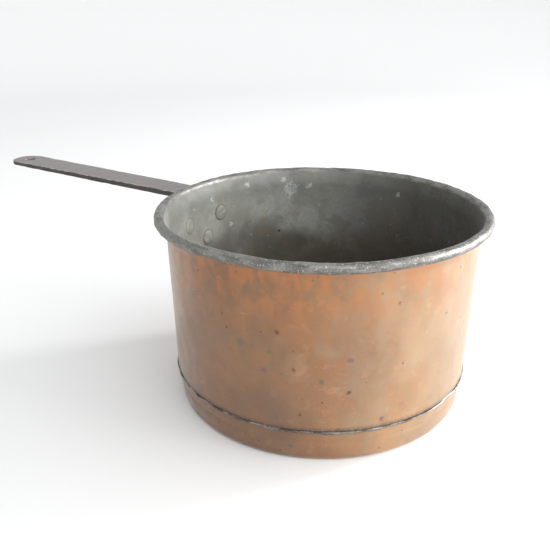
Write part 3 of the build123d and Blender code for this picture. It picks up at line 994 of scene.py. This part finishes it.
def tin_paint():
    """Wiped tin gone grey and blotchy, with whitish scale and a little copper grinning through."""
    paint = Paint("tin_worn")
    patches = paint.noise(13 * MM, 4, 0.55, twist=0.5)
    grain = paint.noise(2.2 * MM, 4, 0.65)
    outside = paint.ramp(paint.from_axis(), RIM_RADIUS - 1 * MM, RIM_RADIUS + 0.5 * MM)
    on_rim = paint.ramp(paint.height, RIM_HEIGHT - 1 * MM, RIM_HEIGHT + 1.5 * MM)
    on_rim = paint.math("MAXIMUM", on_rim, outside)
    color = tin_spots(paint, tin_clouds(paint, patches))
    color = paint.layers(color, (TIN_GRAIN, grain, 0.60, 0.42, 0.22))
    color = paint.mix(on_rim, color, tin_rim(paint, outside))
    # painted glint on the inner side of the rim
    color = paint.mix(paint.near(RIM_GLINT_PLACE, 1.0 * MM, 2.5 * MM), color, GLINT_WHITE)
    roughness = paint.plus(paint.spread(patches, 0.42, 0.58), paint.spread(grain, -0.08, 0.08))
    roughness = paint.plus(roughness, paint.ramp(on_rim, 0, 1, 0.12, 0))
    metallic = paint.ramp(on_rim, 0, 1, 0.25, 0.8)
    skin = paint.bump(grain, 0.10 * MM, 0.3)
    return paint.finish(color, metallic, roughness, paint.bump(patches, 0.4 * MM, 0.3, skin))


# ---- solder, iron and brass

def solder_paint():
    """Soft solder: bright where rubbed, with painted shade where it turns up or down into the crevices."""
    paint = Paint("solder_line")
    patches = paint.noise(9 * MM, 3, 0.6)
    grain = paint.noise(1.4 * MM, 4, 0.6)
    dull, bright = (0.11, 0.095, 0.085), (0.34, 0.325, 0.305)
    # painted shade for the crevices beside the bead
    speck, crevice_shade = (0.13, 0.11, 0.1), (0.05, 0.038, 0.03)
    color = paint.mix(paint.ramp(patches, 0.38, 0.62), dull, bright)
    color = paint.layers(color, (speck, grain, 0.60, 0.42, 0.3))
    # painted shade where the bead's surface faces up or down into the crevices
    leaning = paint.facing("Z")
    crest = paint.times(paint.ramp(leaning, -0.75, -0.35), paint.ramp(leaning, 0.97, 0.80))
    color = paint.mix(crest, crevice_shade, color)
    return paint.finish(color, 0.9, paint.spread(grain, 0.26, 0.42), paint.bump(grain, 0.08 * MM, 0.35))


IRON_BROWN = (0.062, 0.046, 0.042)
IRON_WARM = (0.104, 0.076, 0.07)
IRON_FLECK = (0.11, 0.075, 0.055)
IRON_BLACK = (0.022, 0.018, 0.017)
IRON_SCALE = (0.065, 0.054, 0.048)
RUST = (0.105, 0.05, 0.036)
WORN_IRON = (0.62, 0.59, 0.56)


def worn_arris(paint):
    """1 along the strap's worn long edges, where the surface leans both sideways and up or down."""
    worn = paint.noise(5 * MM, 3, 0.6)
    sideways = paint.ramp(paint.math("ABSOLUTE", paint.facing("Y")), 0.18, 0.36)
    upward = paint.ramp(paint.math("ABSOLUTE", paint.facing("Z")), 0.30, 0.55)
    return paint.times(paint.times(sideways, upward), paint.ramp(worn, 0.42, 0.58, 0.1, 0.9))


def iron_paint():
    """Forged iron: hands have rubbed its flat faces, and its sides keep their black scale."""
    paint = Paint("iron_forged")
    patches = paint.noise(20 * MM, 3, 0.55)
    grain = paint.noise(1.5 * MM, 5, 0.7)
    rust = paint.noise(13 * MM, 3, 0.6, paint.stretch((0.5, 1, 1), shift=(3, 7, 2)))
    rubbed = paint.ramp(paint.math("ABSOLUTE", paint.facing("Z", "True Normal")), 0.45, 0.9)
    arris = worn_arris(paint)
    warm = paint.mix(paint.ramp(patches, 0.38, 0.62), IRON_BROWN, IRON_WARM)
    warm = paint.layers(warm, (IRON_FLECK, grain, 0.58, 0.70, 0.45))
    black = paint.mix(paint.ramp(grain, 0.4, 0.65), IRON_BLACK, IRON_SCALE)
    color = paint.layers(paint.mix(rubbed, black, warm), (RUST, rust, 0.50, 0.66, 0.4))
    color = paint.mix(arris, color, WORN_IRON)
    roughness = paint.plus(paint.spread(patches, 0.30, 0.42), paint.spread(grain, -0.05, 0.10))
    roughness = paint.plus(roughness, paint.ramp(rubbed, 0, 1, 0.25, 0))
    metallic = paint.ramp(arris, 0, 1, 0.1, 0.9)
    shine = paint.ramp(rubbed, 0, 1, 0.15, 0.7)
    scaled = paint.bump(grain, 0.12 * MM, 0.35)
    forged = paint.bump(paint.noise(8 * MM, 3, 0.5), 0.3 * MM, 0.3, scaled)
    return paint.finish(color, metallic, roughness, forged, IOR=2.5, Specular_IOR_Level=shine)


def wire_paint():
    """Drawn black iron wire."""
    paint = Paint("iron_wire")
    grain = paint.noise(2 * MM, 4, 0.6)
    color = paint.mix(paint.ramp(grain, 0.4, 0.6), (0.05, 0.045, 0.04), (0.10, 0.08, 0.07))
    return paint.finish(color, 0.7, paint.spread(grain, 0.45, 0.65), paint.bump(grain, 0.05 * MM, 0.4))


def braze_paint():
    """Brass brazing, dulled with the copper around it."""
    paint = Paint("braze_brass")
    patches = paint.noise(6 * MM, 4, 0.6)
    grain = paint.noise(1.2 * MM, 4, 0.6)
    brown_brass, yellow_brass, dirt = (0.42, 0.28, 0.12), (0.54, 0.39, 0.18), (0.20, 0.12, 0.06)
    color = paint.mix(paint.ramp(patches, 0.35, 0.65), brown_brass, yellow_brass)
    color = paint.layers(color, (dirt, grain, 0.60, 0.45, 0.35))
    return paint.finish(color, 0.95, paint.spread(patches, 0.36, 0.5), paint.bump(grain, 0.06 * MM, 0.4))


# ---- room, light and camera

FLOOR_COLOR = (0.86, 0.86, 0.855)
FLOOR_TOP = -0.00005  # a hair below the pan's foot
FLOOR_THICK = 0.01
SWEEP_START, SWEEP_END = 2.0, 4.6  # distances from the pan between which the floor curves up
SWEEP_RISE = 1.6
ROOM_COLOR = (0.97, 0.985, 1.0, 1)
ROOM_LIGHT, CEILING_LIGHT = 0.68, 0.27  # the same all round, and what the ceiling adds
PANEL_AIM = Vector((0, 0, 0.07))
PANEL_DISTANCE = 1.9
PANELS = (  # name, azimuth and elevation in degrees, width and height, watts
    ("window", 32, 13, (1.8, 0.9), 43),
    ("key", 55, 23, (0.3, 0.25), 14),
    ("fill", -18, 40, (1.8, 1.3), 14),
)


def floor_paint():
    """Plain pale matt paint, very slightly uneven."""
    paint = Paint("floor_pale")
    shade = paint.spread(paint.noise(0.6, 2, 0.5), 0, 0.04)
    color = paint.mix(shade, FLOOR_COLOR, tuple(0.9 * part for part in FLOOR_COLOR))
    return paint.finish(color, 0.0, 0.8, Specular_IOR_Level=0.2)


def make_floor():
    """Wide pale floor that sweeps up all round, far away, so that no edge is in view."""
    angle = np.linspace(0, TURN, 120, endpoint=False)[:, None]
    reach = np.array([0.0, 0.3, 0.8, 1.4, 2.0, 2.3, 2.6, 3.0, 3.4, 3.8, 4.2, 4.6, 5.5, 7.0])
    rise = SWEEP_RISE * smooth(SWEEP_START, SWEEP_END, reach) + FLOOR_TOP
    top = round_axis(reach, angle, rise)
    floor = shell("floor", top - np.array([0, 0, FLOOR_THICK]), top, around=True, pole=True)
    floor.data.materials.append(floor_paint())


def light_room():
    """Pale room: the same light from all round, and more of it towards the ceiling."""
    world = bpy.data.worlds.new("room")
    bpy.context.scene.world = world
    world.use_nodes = True
    tree = world.node_tree
    background = tree.nodes["Background"]
    background.inputs["Color"].default_value = ROOM_COLOR
    looking = tree.nodes.new("ShaderNodeTexCoord")
    rise = tree.nodes.new("ShaderNodeSeparateXYZ")
    strength = tree.nodes.new("ShaderNodeMapRange")
    strength.inputs["To Min"].default_value = ROOM_LIGHT
    strength.inputs["To Max"].default_value = ROOM_LIGHT + CEILING_LIGHT
    tree.links.new(looking.outputs["Generated"], rise.inputs[0])
    tree.links.new(rise.outputs["Z"], strength.inputs["Value"])
    tree.links.new(strength.outputs[0], background.inputs["Strength"])


def add_panel(name, azimuth, elevation, size, power):
    """Soft light panel that faces the pan."""
    data = bpy.data.lights.new(name, "AREA")
    data.shape = "RECTANGLE"
    data.size, data.size_y = size
    data.energy = power
    panel = bpy.data.objects.new(name, data)
    turn, tilt = math.radians(azimuth), math.radians(elevation)
    out = Vector((math.cos(turn) * math.cos(tilt), math.sin(turn) * math.cos(tilt), math.sin(tilt)))
    panel.location = PANEL_AIM + out * PANEL_DISTANCE
    panel.rotation_euler = (-out).to_track_quat("-Z", "Y").to_euler()
    bpy.context.scene.collection.objects.link(panel)


def make_camera():
    """Camera above and in front of the pan, with the handle to its left."""
    data = bpy.data.cameras.new("camera")
    data.lens = LENS
    data.sensor_width = 36
    data.clip_start = 0.01
    camera = bpy.data.objects.new("camera", data)
    across, back = VIEW_RADIUS * math.sin(VIEW_AZIMUTH), VIEW_RADIUS * math.cos(VIEW_AZIMUTH)
    camera.location = (across, -back, VIEW_HEIGHT)
    aim = (VIEW_AIM - camera.location).to_track_quat("-Z", "Y")
    camera.rotation_euler = (aim.to_matrix() @ Matrix.Rotation(-VIEW_ROLL, 3, "Z")).to_euler()
    bpy.context.scene.collection.objects.link(camera)
    bpy.context.scene.camera = camera


# ---- build

copper = copper_paint()
tin = tin_paint()
place(make_wall(), "copper", copper, "side_wall")
place(make_seam(), "braze", braze_paint(), "wall_seam")
place(make_wire(), "iron_wire", wire_paint(), "rim_wire")
place(make_base(), "copper", copper, "base_cup")
place(make_coat(), "tin", tin, "tin_lining")
place(make_solder(), "solder", solder_paint(), "base_solder")
place(make_handle(), "forged_iron", iron_paint(), "handle")
for seed, node in enumerate(RIVETS):
    place(make_rivet(node, seed, tin, copper), "rivet_copper", copper, node)

make_floor()
light_room()
for panel in PANELS:
    add_panel(*panel)
make_camera()
bpy.context.scene.view_settings.view_transform = "Standard"
